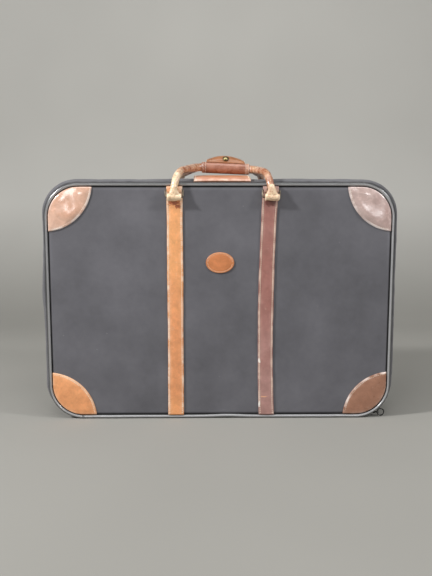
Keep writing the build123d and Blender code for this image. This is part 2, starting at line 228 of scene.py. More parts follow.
def rounded_rim(distance, radius):
    """Share of its height that a rounded rim has at a distance from the edge."""
    return np.sqrt(np.clip(1 - np.clip(1 - distance / radius, 0, 1) ** 2, 0, 1))


def ease(t):
    t = np.clip(t, 0, 1)
    return t * t * (3 - 2 * t)


def loop_section(half_w, low, high, radius, along, up, turn):
    """Rounded rectangle as a closed loop of points, outward normals and lengths along it."""
    cx, low_c, high_c = half_w - radius, low + radius, high - radius
    xs, zs, nx, nz = [], [], [], []

    def line(x0, z0, x1, z1, n, ux, uz):
        for t in np.arange(n) / n:
            xs.append(x0 + (x1 - x0) * t), zs.append(z0 + (z1 - z0) * t)
            nx.append(ux), nz.append(uz)

    def arc(x, z, start):
        for t in np.arange(turn) / turn:
            a = math.radians(start + 90 * t)
            xs.append(x + radius * math.cos(a)), zs.append(z + radius * math.sin(a))
            nx.append(math.cos(a)), nz.append(math.sin(a))

    line(-cx, low, cx, low, along, 0, -1)
    arc(cx, low_c, -90)
    line(half_w, low_c, half_w, high_c, up, 1, 0)
    arc(cx, high_c, 0)
    line(cx, high, -cx, high, along, 0, 1)
    arc(-cx, high_c, 90)
    line(-half_w, high_c, -half_w, low_c, up, -1, 0)
    arc(-cx, low_c, 180)
    x, z = np.array(xs), np.array(zs)
    step = np.hypot(np.diff(x, append=x[0]), np.diff(z, append=z[0]))
    return x, z, np.array(nx), np.array(nz), np.concatenate([[0], np.cumsum(step)[:-1]])


def edge_loop(inset, along, up, turn):
    """The case's outline, taken in by inset all round."""
    return loop_section(CASE_W / 2 - inset, inset, CASE_H - inset, CORNER_R - inset, along, up, turn)


def corner_angle(x, z):
    """Degrees round the centre of the nearest lower corner, 0 out to the side and -90 straight down."""
    return np.degrees(np.arctan2(z - CORNER_R, np.abs(x) - (CASE_W / 2 - CORNER_R)))


def inside_depth(x, z, inset):
    """Distance inside the rounded outline taken in by inset. It is negative outside."""
    half_w, half_h, radius = CASE_W / 2 - inset, CASE_H / 2 - inset, CORNER_R - inset
    qx = np.abs(x) - (half_w - radius)
    qz = np.abs(z - CASE_H / 2) - (half_h - radius)
    outer = np.hypot(np.maximum(qx, 0), np.maximum(qz, 0))
    return radius - outer - np.minimum(np.maximum(qx, qz), 0)


def face_out(x, z, side):
    """How far the cloth of a panel stands out at a place, from the middle of the case."""
    a = np.clip(np.abs(x) / CROWN_HALF_W, 0, 1)
    b = np.clip(np.abs(z - CASE_H / 2) / CROWN_HALF_H, 0, 1)
    crown = 1.5 * (1 - a**2) * (1 - b**2)
    flat = at(x, 0.0, z)
    soft = (1 - a**6) * (1 - b**6)
    waves = 0.35 * swell(flat, 11 + side, 210) + 0.12 * swell(flat, 21 + side, 60)
    return FACE_OUT + crown + soft * waves


def bulge_share(y):
    return np.clip(1 - ((y - BAND_MID) / BAND_HALF) ** 2, 0, 1) ** BULGE_POWER


def band_top(y):
    return CASE_H - SEAM_INSET + TOP_BULGE * bulge_share(y)


# Node trees for the materials

class Tree:
    def __init__(self, name):
        self.material = bpy.data.materials.new(name)
        self.material.use_nodes = True
        self.tree = self.material.node_tree
        self.bsdf = self.tree.nodes["Principled BSDF"]

    def node(self, kind, out=0, inputs=(), **settings):
        made = self.tree.nodes.new(kind)
        for key, value in settings.items():
            setattr(made, key, value)
        for key, value in dict(inputs).items():
            self.set(made.inputs[key], value)
        return made.outputs[out]

    def set(self, socket, value):
        if isinstance(value, bpy.types.NodeSocket):
            self.tree.links.new(value, socket)
        else:
            socket.default_value = value

    def math(self, operation, a, b=0.0, clamp=False):
        return self.node("ShaderNodeMath", inputs={0: a, 1: b}, operation=operation, use_clamp=clamp)

    def times(self, a, b, clamp=False):
        return self.math("MULTIPLY", a, b, clamp)

    def plus(self, a, b, clamp=False):
        return self.math("ADD", a, b, clamp)

    def shade(self, colour, value):
        """The colour, made lighter or darker by a factor."""
        return self.node("ShaderNodeHueSaturation", inputs={"Color": colour, "Value": value})

    def part(self, vector, letter):
        """One coordinate, X, Y or Z, of a vector."""
        return self.node("ShaderNodeSeparateXYZ", out=letter, inputs={0: vector})

    def mix(self, share, a, b):
        return self.node("ShaderNodeMix", out=2, inputs={0: share, 6: a, 7: b}, data_type="RGBA")

    def place(self, kind="Object"):
        return self.node("ShaderNodeTexCoord", out=kind)

    def mapped(self, vector, scale):
        return self.node("ShaderNodeMapping", inputs={"Vector": vector, "Scale": scale})

    def noise(self, vector, scale, detail=3.0, rough=0.55, warp=0.0):
        values = {"Vector": vector, "Scale": scale, "Detail": detail, "Roughness": rough, "Distortion": warp}
        return self.node("ShaderNodeTexNoise", inputs=values)

    def range(self, value, low, high, to_low=0.0, to_high=1.0):
        values = {0: value, 1: low, 2: high, 3: to_low, 4: to_high}
        return self.node("ShaderNodeMapRange", inputs=values, clamp=True)

    def attribute(self, name):
        return self.node("ShaderNodeAttribute", out="Fac", attribute_name=name)

    def bump(self, height, strength, distance, normal=None):
        values = {"Height": height, "Strength": strength, "Distance": distance}
        if normal is not None:
            values["Normal"] = normal
        return self.node("ShaderNodeBump", inputs=values)

    def finish(self, **sockets):
        for key, value in sockets.items():
            self.set(self.bsdf.inputs[key.replace("_", " ")], value)
        return self.material


def rgb(r, g, b):
    """Colour as seen on a screen, 0 to 255, as the linear values that a shader takes."""
    shares = (c / 255 for c in (r, g, b))
    return tuple(((c + 0.055) / 1.055) ** 2.4 if c > 10 / 255 else c / 12.92 for c in shares) + (1.0,)


def cloth(name, colour, pitch=0.9, depth=0.5, rough=0.85, sheen=0.12, marks=0.10, lint_shade=0.0, coat=0.0):
    """Plain woven cloth. Pitch is the spacing of its threads in millimetres. The edge value of a point
    darkens it as painted shade, the tone value lightens it as painted highlight."""
    t = Tree(name)
    uv = t.mapped(t.place("UV"), (1000 / pitch,) * 3)
    across = t.math("SINE", t.times(t.part(uv, "X"), math.pi))
    down = t.math("SINE", t.times(t.part(uv, "Y"), math.pi))
    weave = t.times(across, down)
    place = t.place()
    fibre = t.noise(place, 900, 2)
    dirt = t.noise(place, 9, 5, 0.6)
    fine = t.noise(place, 60, 4, 0.6)
    shade = t.plus(t.range(dirt, 0.3, 0.7, 1 - marks, 1 + marks), t.range(fine, 0.3, 0.7, -0.04, 0.04))
    shade = t.plus(shade, t.times(weave, 0.05))
    # painted shade from the edge value and painted highlight from the tone value
    shade = t.times(shade, t.range(t.attribute("edge"), 0.0, 1.0, 1.0, 0.05))
    shade = t.times(shade, t.range(t.attribute("tone"), 0.0, 1.0, 1.0, 1.25))
    lint = t.node("ShaderNodeTexVoronoi", inputs={"Vector": place, "Scale": 26.0})
    shade = t.plus(shade, t.range(lint, 0.016, 0.030, lint_shade, 0.0))
    value = t.shade(colour, shade)
    height = t.plus(t.times(weave, 0.7), t.times(fibre, 0.6))
    normal = t.bump(height, depth, 0.0002)
    normal = t.bump(t.noise(place, 35, 4, 0.55), 0.25, 0.0012, normal)
    return t.finish(Base_Color=value, Roughness=rough, Normal=normal, Sheen_Weight=sheen, Sheen_Roughness=0.5,
                    Specular_IOR_Level=0.5 + 0.5 * coat, Coat_Weight=coat, Coat_Roughness=0.22, Coat_IOR=1.7)


def leather(name, colour, second, worn, gloss, wear, grain=0.5, spots=(), coat=0.15, mottle=0.0,
            rim=0.0):
    """Worn leather. The tone value of a point leads from colour to second, its edge value to worn.
    Rim is how much of worn the highest edge values always show, mottle how strong the flecks are."""
    t = Tree(name)
    place = t.place()
    large = t.noise(place, 14, 4, 0.6)
    middle = t.noise(place, 55, 5, 0.65, 0.4)
    small = t.noise(place, 260, 3, 0.6)
    flecks = t.range(t.noise(place, 150, 5, 0.7, 0.5), 0.40, 0.60, -0.75 * mottle, 0.75 * mottle)
    drift = t.plus(t.range(large, 0.3, 0.7, -0.35, 0.35), flecks)
    tone = t.plus(t.attribute("tone"), drift, clamp=True)
    base = t.mix(tone, colour, second)
    shade = t.plus(t.range(middle, 0.25, 0.75, 0.80, 1.16), t.range(small, 0.3, 0.7, -0.05, 0.05))
    base = t.shade(base, shade)
    ragged = t.times(t.range(middle, 0.42, 0.60), t.attribute("edge"))
    rubbed = t.times(t.range(t.noise(place, 120, 5, 0.7), 0.62, 0.72), 0.35)
    mask = t.times(t.plus(ragged, rubbed, clamp=True), wear, clamp=True)
    mask = t.math("MAXIMUM", mask, t.range(t.attribute("edge"), 0.82, 0.95, 0.0, rim))
    spot_masks = []
    for x, y, z, wide, deep, high, spot_colour in spots:
        centre = t.node("ShaderNodeVectorMath", operation="SUBTRACT",
                        inputs={0: place, 1: (x * MM, y * MM, z * MM)})
        scaled = t.mapped(centre, (1 / (wide * MM), 1 / (deep * MM), 1 / (high * MM)))
        size = t.node("ShaderNodeVectorMath", out="Value", operation="LENGTH", inputs={0: scaled})
        size = t.plus(size, t.range(t.noise(place, 300, 5, 0.7), 0.3, 0.7, -0.6, 0.6))
        spot_masks.append((t.range(size, 1.0, 0.8), spot_colour))
    base = t.mix(mask, base, worn)
    for share, spot_colour in spot_masks:
        base = t.mix(share, base, spot_colour)
    cells = t.node("ShaderNodeTexVoronoi", inputs={"Vector": place, "Scale": 420.0},
                   feature="DISTANCE_TO_EDGE")
    pores = t.range(cells, 0.0, 0.25)
    creases = t.noise(place, 90, 6, 0.7, 0.8)
    normal = t.bump(pores, 0.35 * grain, 0.0003)
    normal = t.bump(creases, 0.5 * grain, 0.0008, normal)
    normal = t.bump(mask, -0.3, 0.0004, normal)
    rough = t.range(middle, 0.3, 0.7, gloss - 0.10, gloss + 0.12)
    rough = t.plus(rough, t.times(mask, 0.25))
    return t.finish(Base_Color=base, Roughness=rough, Normal=normal, Coat_Weight=coat,
                    Coat_IOR=1.5 + 0.35 * coat, Coat_Roughness=0.35 - 0.15 * coat,
                    Specular_IOR_Level=0.5 + 0.4 * coat)


def darker(colour, share):
    return tuple(c * share for c in colour[:3]) + (1.0,)


def metal(name, colour, rough):
    """Dull metal. The edge value of a point darkens it."""
    t = Tree(name)
    place = t.place()
    worn = t.noise(place, 300, 4, 0.6)
    base = t.mix(t.range(worn, 0.35, 0.7, 0.0, 0.6), colour, darker(colour, 0.85))
    base = t.mix(t.attribute("edge"), base, darker(colour, 0.18))
    finish = t.range(t.noise(place, 700, 3), 0.3, 0.7, rough - 0.08, rough + 0.12)
    normal = t.bump(t.noise(place, 900, 3), 0.15, 0.0001)
    return t.finish(Base_Color=base, Roughness=finish, Metallic=1.0, Normal=normal)


def plain(name, colour, rough=0.7, grain=200.0):
    t = Tree(name)
    place = t.place()
    shade = t.range(t.noise(place, grain, 4), 0.3, 0.7, 0.92, 1.08)
    base = t.shade(colour, shade)
    normal = t.bump(t.noise(place, grain * 2, 3), 0.2, 0.0003)
    return t.finish(Base_Color=base, Roughness=rough, Normal=normal)


PANEL_CLOTH = cloth("panel_cloth", rgb(98, 97, 102), marks=0.2, lint_shade=0.9)
BAND_CLOTH = cloth("band_cloth", rgb(96, 95, 99), marks=0.12)
PIPING_SKIN = cloth("piping_cloth", rgb(150, 150, 151), pitch=0.7, depth=0.2, rough=0.32, sheen=0.0,
                    marks=0.06, coat=1.0)
TAPE_CLOTH = cloth("zip_tape_cloth", rgb(44, 44, 47), pitch=0.6)
LINING_CLOTH = cloth("lining_cloth", rgb(120, 116, 108), pitch=0.6, depth=0.3, rough=0.6, sheen=0.3)
TEETH_BLACK = plain("zip_teeth_black", rgb(30, 30, 32), 0.4)
BOARD_DARK = plain("board_dark", rgb(60, 56, 50), 0.9)
HOOP_STEEL = metal("hoop_steel", rgb(170, 170, 170), 0.35)
GUNMETAL = metal("gunmetal", rgb(58, 57, 58), 0.32)
LOOP_METAL = metal("loop_metal", rgb(120, 110, 96), 0.4)
BRASS = metal("brass", rgb(214, 196, 140), 0.3)
THREAD_PALE = plain("thread_pale", rgb(246, 228, 206), 0.8, 1500.0)
PALE_WEAR = rgb(246, 228, 208)
WHITE_CHIP = rgb(252, 248, 242)
# colour of the darker patches on the left strap's top, just under the handle roll
DARK_UNDER_ROLL = rgb(172, 98, 60)
ORANGE = leather(
    "leather_orange", rgb(244, 172, 112), rgb(232, 156, 104), PALE_WEAR, gloss=0.40, wear=0.75,
    spots=[(-91.0, -100, 441, 12.0, 9, 6.0, DARK_UNDER_ROLL), (-84.0, -100, 434, 6.0, 9, 5.0, DARK_UNDER_ROLL)])
# Marks on the right straps: two chips, a pale scratch and the dark place under the handle
CHIPS = [(80.0, -100, 122, 2.1, 9, 6.0, WHITE_CHIP), (80.8, -100, 30, 2.1, 9, 6.0, WHITE_CHIP),
         (90.0, -100, 46, 6.0, 9, 1.5, rgb(222, 170, 136)),
         (100.0, -100, 441, 13.0, 9, 7.0, rgb(112, 62, 52))]
RED_BROWN = leather("leather_red_brown", rgb(162, 108, 98), rgb(178, 134, 126), PALE_WEAR,
                    gloss=0.38, wear=0.45, spots=CHIPS)
CORNER_ORANGE = leather("corner_orange", rgb(238, 168, 114), rgb(226, 152, 100), rgb(244, 206, 172),
                        gloss=0.36, wear=0.8, rim=0.75)
CORNER_BROWN = leather("corner_brown", rgb(158, 110, 86), rgb(168, 122, 98), rgb(240, 220, 210),
                       gloss=0.36, wear=0.6, rim=1.0)
CORNER_PINK = leather("corner_pink", rgb(238, 200, 178), rgb(222, 168, 138), rgb(254, 240, 230),
                      gloss=0.20, wear=0.6, coat=1.0, grain=0.2, rim=0.7)
CORNER_MAUVE = leather("corner_mauve", rgb(214, 190, 182), rgb(186, 150, 142), rgb(248, 238, 234),
                       gloss=0.22, wear=0.6, coat=1.0, grain=0.2, rim=0.6)
BADGE_SKIN = leather("leather_badge", rgb(210, 132, 80), rgb(196, 120, 72), rgb(232, 176, 130),
                     gloss=0.42, wear=0.4)
HANDLE_SKIN = leather("leather_handle", rgb(252, 218, 176), rgb(176, 106, 70), rgb(254, 236, 206),
                      gloss=0.30, wear=0.7, grain=1.2, coat=0.6, mottle=0.6)
# the darker second colour is mostly the painted shade on the grip's underside
GRIP_SKIN = leather("leather_grip", rgb(162, 106, 84), rgb(150, 94, 72), rgb(236, 192, 166),
                    gloss=0.30, wear=0.7, coat=0.5)
TONGUE_SKIN = leather("leather_tongue", rgb(176, 116, 74), rgb(148, 92, 56), rgb(226, 184, 150),
                      gloss=0.32, wear=0.4, coat=0.4)
# the lighter, pinker second colour is a painted reflection on the top patch's lower slopes
PATCH_SKIN = leather("leather_patch", rgb(206, 136, 94), rgb(218, 160, 136), PALE_WEAR, gloss=0.36,
                     wear=0.6)


# Small builders that several pieces share

def stitch_row(shape, path, normals, pitch=4.2, length=3.3, radius=0.6, lift=0.15):
    """Short thread ends standing on a path, one every pitch. Normals may be one for the whole path."""
    normals = np.broadcast_to(normals, path.shape)
    run = run_of(path)
    for middle in np.arange(pitch, run[-1] - pitch / 2, pitch):
        p, q = read(middle, run, *path.T), read(middle + 0.5, run, *path.T)
        n = read(middle, run, *normals.T)
        t = (q - p) / max(np.linalg.norm(q - p), 1e-9)
        n = n - t * (n @ t)
        n /= max(np.linalg.norm(n), 1e-9)
        b = np.cross(t, n)
        base = p + n * lift
        points = [base - t * length / 2 - n * radius]
        for share in (-0.32, 0.32):
            for a in (0, 90, 180, 270):
                c, s = math.cos(math.radians(a)), math.sin(math.radians(a))
                points.append(base + t * length * share + (n * c + b * s) * radius)
        points.append(base + t * length / 2 - n * radius)
        faces = [(0, 1 + i, 1 + (i + 1) % 4) for i in range(4)]
        faces += [(1 + i, 5 + i, 5 + (i + 1) % 4, 1 + (i + 1) % 4) for i in range(4)]
        faces += [(9, 5 + (i + 1) % 4, 5 + i) for i in range(4)]
        shape.add(points, faces)


def frames_along(path):
    """Tangents and two side vectors that turn as little as they can along a path."""
    tangent = np.gradient(path, axis=0)
    tangent /= np.linalg.norm(tangent, axis=1)[:, None]
    first = np.cross(tangent[0], (1.0, 0.0, 0.0))
    if np.linalg.norm(first) < 0.1:
        first = np.cross(tangent[0], (0.0, 0.0, 1.0))
    sides = [unit(first)]
    for t in tangent[1:]:
        sides.append(unit(sides[-1] - t * (sides[-1] @ t)))
    sides = np.array(sides)
    return tangent, sides, np.cross(tangent, sides)


def tube_rows(path, radius, segments, seed, rough):
    """Rings of points round a path, with a radius for each point of it and a rough surface."""
    _, side, other = frames_along(path)
    angle = circle(segments)[:, None]
    out = np.cos(angle) * side[:, None] + np.sin(angle) * other[:, None]
    reach = radius[:, None] + rough * swell(path[:, None] + out * radius[:, None, None], seed, 16)
    return path[:, None] + out * reach[..., None]


def run_of(path):
    """Length along a path up to each of its points."""
    return np.concatenate([[0], np.cumsum(np.linalg.norm(np.diff(path, axis=0), axis=1))])


def read(place, run, *columns):
    """What each column holds at a place along the run."""
    return np.array([np.interp(place, run, column) for column in columns])


def rounded_path(points, radii, step):
    """Straight runs joined by arcs of the given radii, as points about one step apart."""
    points = [np.array(p, float) for p in points]
    path = [points[0]]

    def straight(to):
        start = path[-1]
        n = max(1, int(np.linalg.norm(to - start) / step))
        path.extend(start + (to - start) * (i + 1) / n for i in range(n))

    for before, corner, after, radius in zip(points, points[1:], points[2:], radii):
        a, b = unit(before - corner), unit(after - corner)
        half = math.acos(np.clip(a @ b, -1, 1)) / 2
        straight(corner + a * radius / math.tan(half))
        centre = corner + unit(a + b) * radius / math.sin(half)
        start, end = path[-1] - centre, corner + b * radius / math.tan(half) - centre
        sweep_angle = math.pi - 2 * half
        n = max(2, int(radius * sweep_angle / step))
        for i in range(1, n + 1):
            t = i / n * sweep_angle
            p = (math.sin(sweep_angle - t) * start + math.sin(t) * end) / math.sin(sweep_angle)
            path.append(centre + p)
    straight(points[-1])
    return np.array(path)


# The body of the case

def make_band():
    shape = Shape()
    outer, inner, uv, painted_seam_shade = [], [], [], []
    for y in BAND_MID - BAND_HALF * np.cos(np.linspace(0, math.pi, 40)):
        share = bulge_share(y)
        half_w = CASE_W / 2 - SEAM_INSET + SIDE_BULGE * share
        high = CASE_H - SEAM_INSET + TOP_BULGE * share
        x, z, nx, nz, run = loop_section(half_w, 0.0, high, CORNER_R - SEAM_INSET + 4.0 * share, 90, 60, 18)
        ring = at(x, y, z)
        free = ease((nz + 0.95) / 0.4)
        seam = min(y - BAND_FRONT, BAND_REAR - y)
        pucker = 0.7 * math.exp(-seam / 14) * swell(ring, 31, 26, (1, 3, 1))
        waves = 1.1 * share * swell(ring, 32, 150, (1, 1.6, 1)) + 0.4 * share * swell(ring, 33, 48, (1, 2, 1))
        lump = 5.0 * bell(z, 250, 46) - 2.2 * bell(z, 385, 48)
        off = (waves + pucker * min(1.0, seam / 4)) * free - 0.9 * share + np.clip(-nx, 0, 1) * share * lump
        normal = at(nx, 0.0, nz)
        moved = ring + normal * off[:, None] * np.where(nz < -0.9, 0, 1)[:, None]
        moved[:, 2] = np.maximum(moved[:, 2], 0.0)
        outer.append(moved)
        inner.append(moved - normal * CLOTH_T)
        uv.append(at(run, y))
        # painted shade along both seams of the band, a dark line next to the piping and the zip
        painted_seam_shade.append([0.75 * ease(1 - seam / 4.5)])
    shape.shell(outer, inner, uv, painted_seam_shade, around=True)
    shape.piece("band_skin", BAND_CLOTH, "case", ("case_band", "case_base"))


def panel_net(inset, columns=150, rows=104):
    """Places over a panel, closer together near its edge."""
    half_w, radius = CASE_W / 2 - inset, CORNER_R - inset
    low, high = inset, CASE_H - inset
    v = np.linspace(-1, 1, rows)
    v = np.sign(v) * (1 - (1 - np.abs(v)) ** 1.5)
    z = (low + high) / 2 + v * (high - low) / 2
    into = np.minimum(z - low, high - z)
    cut = np.where(into < radius, radius - np.sqrt(np.maximum(radius**2 - (radius - into) ** 2, 0)), 0)
    u = np.linspace(-1, 1, columns)
    u = np.sign(u) * (1 - (1 - np.abs(u)) ** 1.4)
    return np.broadcast_arrays(u * (half_w - cut)[:, None], z[:, None])


def make_panel(side):
    shape = Shape()
    x, z = panel_net(PANEL_INSET)
    d = inside_depth(x, z, PANEL_INSET)
    out = face_out(x, z, side) - 3.4 * (1 - rounded_rim(d, 3.6))
    # painted shade in the groove along the panel's rim, reaching further in near the bottom, and a painted
    # highlight on the rim's fold in the upper part
    low = ease(1 - (z - 20) / 60)
    painted_fold_highlight = bell(d, 5.4, 2.2) * ease((z - 250) / 180)
    edge = ease(1 - (d - 1.7) / (2.2 + 3.0 * low))
    front = shape.grid(at(x, side * out, z), None, edge, painted_fold_highlight)
    rim = np.concatenate([front[0], front[1:-1, -1], front[-1, ::-1], front[1:-1, 0][::-1]])
    points = np.concatenate(shape.points)[rim]
    points[:, 1] = side * PANEL_BACK
    back = shape.add(points, []) + np.arange(len(points))
    shape.bridge(back, rim, True)
    shape.cap(back)
    name = SIDE_NAME[side]
    shape.piece(name + "_skin", PANEL_CLOTH, SIDE_BODY[side], (name + "_panel",),
                flip=side == REAR)


def make_piping(side):
    shape = Shape()
    x, z, _, _, run = edge_loop(PIPING_INSET, 220, 150, 44)
    path = at(x, side * PIPING_OUT, z)
    path[:, 1] += 0.25 * swell(path, 41 + side, 70)
    if side == FRONT:
        path[:, 2] += np.where(z < 10, 1.6 * bell(x, 15, 34), 0)
    tangent = np.roll(path, -1, 0) - np.roll(path, 1, 0)
    tangent /= np.linalg.norm(tangent, axis=1)[:, None]
    depth = np.array([0.0, 1.0, 0.0])
    outward = np.cross(tangent, depth)
    outward /= np.linalg.norm(outward, axis=1)[:, None]
    angle = circle(12)
    reach = PIPING_R + 0.06 * swell(path, 43 + side, 22)
    out = np.cos(angle)[:, None] * outward[:, None] + np.sin(angle)[:, None] * depth
    rings = path[:, None] + out * reach[:, None, None]
    rings[..., 2] = np.maximum(rings[..., 2], 0.0)
    uv = at(run[:, None], angle * PIPING_R)
    # painted highlight: a lighter crest on the piping's outer face; painted shade on the side toward the
    # panel and, more lightly, everywhere off the crest
    turn = (angle - math.radians(60) * side + math.pi) % (2 * math.pi) - math.pi
    crest = bell(turn, 0, 0.45)
    edge = np.maximum(ease((-np.cos(angle) - 0.05) / 0.4), 0.35 * (1 - crest))
    net = shape.grid(rings, uv, edge, crest, around=True, flip=True)
    shape.bridge(net[0], net[-1], True)
    name = SIDE_NAME[side] + "_piping"
    shape.piece(name + "_skin", PIPING_SKIN, SIDE_BODY[side], (name,))


def make_zip_half(body, teeth_y, tape_low, tape_high):
    """Row of teeth and the tape behind it, open across the bottom."""
    x, z, nx, nz, run = edge_loop(ZIP_INSET, 240, 170, 46)
    angle = corner_angle(x, z)
    bottom = (np.abs(x) < CASE_W / 2 - CORNER_R) & (z < CORNER_R)
    keep = ~bottom & ((z > CORNER_R) | (angle > ZIP_END_ANGLE))
    order = np.flatnonzero(keep)
    teeth = Shape()
    total = run[order[-1]] - run[order[0]]
    for s in np.arange(run[order[0]] + 1, run[order[0]] + total - 1, TOOTH_PITCH):
        p, n = read(s, run, x, z), unit(read(s, run, nx, nz))
        t = np.array([-n[1], n[0]])
        corners = []
        for dy in (-1.25, 1.25):
            for a, b in ((-0.75, -1.2), (0.75, -1.2), (0.55, 1.15), (-0.55, 1.15)):
                q = p + t * a + n * b
                corners.append((q[0], teeth_y + dy, q[1]))
        faces = [(0, 1, 2, 3), (7, 6, 5, 4), (0, 4, 5, 1), (1, 5, 6, 2), (2, 6, 7, 3), (3, 7, 4, 0)]
        teeth.add(corners, faces)
    node = "zip_" + body + "_half"
    teeth.piece("zip_teeth_" + body, TEETH_BLACK, body, (node,), smooth=False)
    tape = Shape()
    rows, inner = [], []
    for y in (tape_low, (tape_low + tape_high) / 2, tape_high):
        rows.append(at(x - nx * 1.4, y, z - nz * 1.4)[order])
        inner.append(at(x - nx * 2.4, y, z - nz * 2.4)[order])
    tape.shell(rows, inner)
    tape.piece("zip_tape_" + body, TAPE_CLOTH, body, (node,))


def make_fold():
    shape = Shape()
    x, z, nx, nz, _ = loop_section(CASE_W / 2 - FOLD_INSET, 0.4, CASE_H, CORNER_R - FOLD_INSET, 90, 20, 18)
    angle = corner_angle(x, z)
    low = (z < 1) | ((z < CORNER_R) & (angle < FOLD_END_ANGLE))
    order = np.flatnonzero(low)
    order = order[np.argsort(x[order])]
    rows, inner = [], []
    for y in np.linspace(-92.3, -85.0, 7):
        dip = 0.35 * math.sin((y + 92.3) / 7.3 * math.pi)
        rows.append(at(x, y, z + dip)[order])
        inner.append(at(x - nx * 1.4, y, z - nz * 1.4 + dip)[order])
    shape.shell(rows, inner)
    obj = shape.piece("fold_skin", BAND_CLOTH, None, ("hinge_fold",))
    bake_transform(obj)


# Leather trims on the panels

def strap_centre(side, which, z):
    if which == 0:
        return -90.3 + 0.5 * np.sin(z / 150)
    if side == REAR:
        return 100.0 + 0.6 * np.sin(z / 130 + 1)
    return np.polyval(np.polyfit([8, 100, 185, 300, 437, 473], [95.6, 92.8, 91.9, 93.6, 98.2, 100.2], 4), z)


def make_strap(side, which):
    shape = Shape()
    z = np.linspace(STRAP_LOW, STRAP_TOP, 190)
    u = np.array([-1, -0.985, -0.94, -0.86, -0.80, -0.72, -0.4, 0, 0.4, 0.72, 0.80, 0.86, 0.94, 0.985, 1])
    rise = np.array([1.2, 2.2, 2.65, 2.7, 2.45, 2.7, 2.75, 2.75, 2.75, 2.7, 2.45, 2.7, 2.65, 2.2, 1.2])
    half = (15.8, 15.3)[which] + 0.25 * np.sin(z / 37 + which) + 0.15 * np.sin(z / 11)
    x = strap_centre(side, which, z)[:, None] + u * half[:, None]
    zz = z[:, None]
    ground = face_out(x, zz, side)
    out = ground + rise + 0.12 * swell(at(x, 0.0, zz), 51 + which, 45)
    edge = ease((np.abs(u) - 0.66) / 0.2)
    tone = 0.5 + 0.5 * np.sin(zz / 90 + which)
    shape.sheet(at(x, side * out, zz), at(x, side * (ground + LEATHER_GAP), zz), at(x, zz), edge, tone, tone)
    add_lugs(shape, side, which)
    name = SIDE_NAME[side] + "_strap_" + ("left", "right")[which]
    skin = (ORANGE, RED_BROWN)[which]
    shape.piece(name + "_skin", skin, SIDE_BODY[side], (name,), flip=side == REAR)
    rows = Shape()
    for share in (-0.80, 0.80):
        px = strap_centre(side, which, z) + share * half
        path = at(px, side * (face_out(px, z, side) + 2.5), z)
        seat = {} if side == FRONT else {"radius": 0.5, "lift": -0.1}
        stitch_row(rows, path, (0, side, 0), **seat)
    return rows


def add_lugs(shape, side, which):
    """The strap's split end: two narrow tongues folded round the ends of the wire loop."""
    centre = STRAP_X[which]
    for sign in (-1, 1):
        mid = centre + sign * 11.4
        around = np.linspace(0, 2 * math.pi, 22, endpoint=False)
        depth = LUG_OUT + 3.15 * np.cos(around)
        height = LUG_Z + 5.9 * np.sin(around)
        squarer = 1 + 0.10 * np.sin(2 * around) ** 2
        rows = []
        for t, shrink in ((-3.5, 0.86), (-3.3, 0.97), (-1.5, 1.0), (1.5, 1.0), (3.3, 0.97), (3.5, 0.86)):
            d = LUG_OUT + (depth - LUG_OUT) * squarer * shrink
            h = LUG_Z + (height - LUG_Z) * squarer * shrink
            rows.append(at(mid + t, side * np.clip(d, 100.4, 108), h))
        net = shape.grid(rows, None, 0.9, 0.5, around=True)
        shape.cap(net[0])
        shape.cap(net[-1][::-1])


def make_corner(side, sign, high):
    shape = Shape()
    radius, inset = CORNER_PATCH_R, CORNER_INSET
    cz = CASE_H if high else 0.0
    flip_z = -1 if high else 1
    start = math.asin(inset / radius) + 0.004
    phis = np.linspace(start, math.pi / 2 - start, 56)
    shares = np.array([0, 0.012, 0.03, 0.06, 0.12, 0.2, 0.3, 0.4, 0.5, 0.6, 0.7, 0.8, 0.87, 0.91,
                       0.935, 0.955, 0.97, 0.985, 1])
    reach = np.linspace(0, radius, 800)
    rows = []
    for phi in phis:
        x = sign * (CASE_W / 2 - reach * math.cos(phi))
        z = cz + flip_z * reach * math.sin(phi)
        inside = inside_depth(x, z, inset) >= 0
        near = reach[inside][0] if inside.any() else radius
        rows.append(near + (radius - near) * shares)
    reach = np.array(rows)
    x = sign * (CASE_W / 2 - reach * np.cos(phis)[:, None])
    z = cz + flip_z * reach * np.sin(phis)[:, None]
    d = np.minimum(inside_depth(x, z, inset), radius - reach)
    rise = 2.3 * rounded_rim(d, 1.6)
    groove = -0.35 * bell(radius - reach, 3.8, 0.8)
    flat = at(x, 0.0, z)
    seed = 61 + sign + 2 * high + 5 * side
    creased = 1.0 if high else 0.3
    folds = (1.9, 0.45) if sign < 0 else (2.1, 0.1)
    folds = folds[0] * swell(flat, seed, (46, 62)[sign > 0]) + folds[1] * swell(flat, seed + 9, 21)
    soft = np.maximum(np.clip(d / 12, 0, 1) * (1.6 + creased * folds), 0)
    ground = face_out(x, z, side)
    out = ground + rise + groove + soft
    edge = ease(1 - d / 3.2) * 0.5 + 0.25 * ease(1 - d / 9)
    edge = np.maximum(edge, ease((4.6 - radius + reach) / 1.0) * (0.88 + 0.12 * swell(flat, seed + 3, 30)))
    shape.sheet(at(x, side * out, z), at(x, side * (ground + LEATHER_GAP), z), at(x, z), edge, 0.5, 0.5)
    level, hand = ("top" if high else "bottom"), ("left" if sign < 0 else "right")
    name = SIDE_NAME[side] + "_corner_" + level + "_" + hand
    skins = {(True, -1): CORNER_PINK, (True, 1): CORNER_MAUVE,
             (False, -1): CORNER_ORANGE, (False, 1): CORNER_BROWN}
    turned = (sign * flip_z * side) > 0
    shape.piece(name + "_skin", skins[(high, sign)], SIDE_BODY[side], (name,), flip=turned)
    x = sign * (CASE_W / 2 - CORNER_STITCH_R * np.cos(phis))
    z = cz + flip_z * CORNER_STITCH_R * np.sin(phis)
    keep = inside_depth(x, z, inset + 2) > 0
    arc = at(x, side * (face_out(x, z, side) + 2.45), z)[keep]
    rows = Shape()
    stitch_row(rows, arc, (0, side, 0), pitch=3.8, length=2.7, radius=0.4)
    return rows


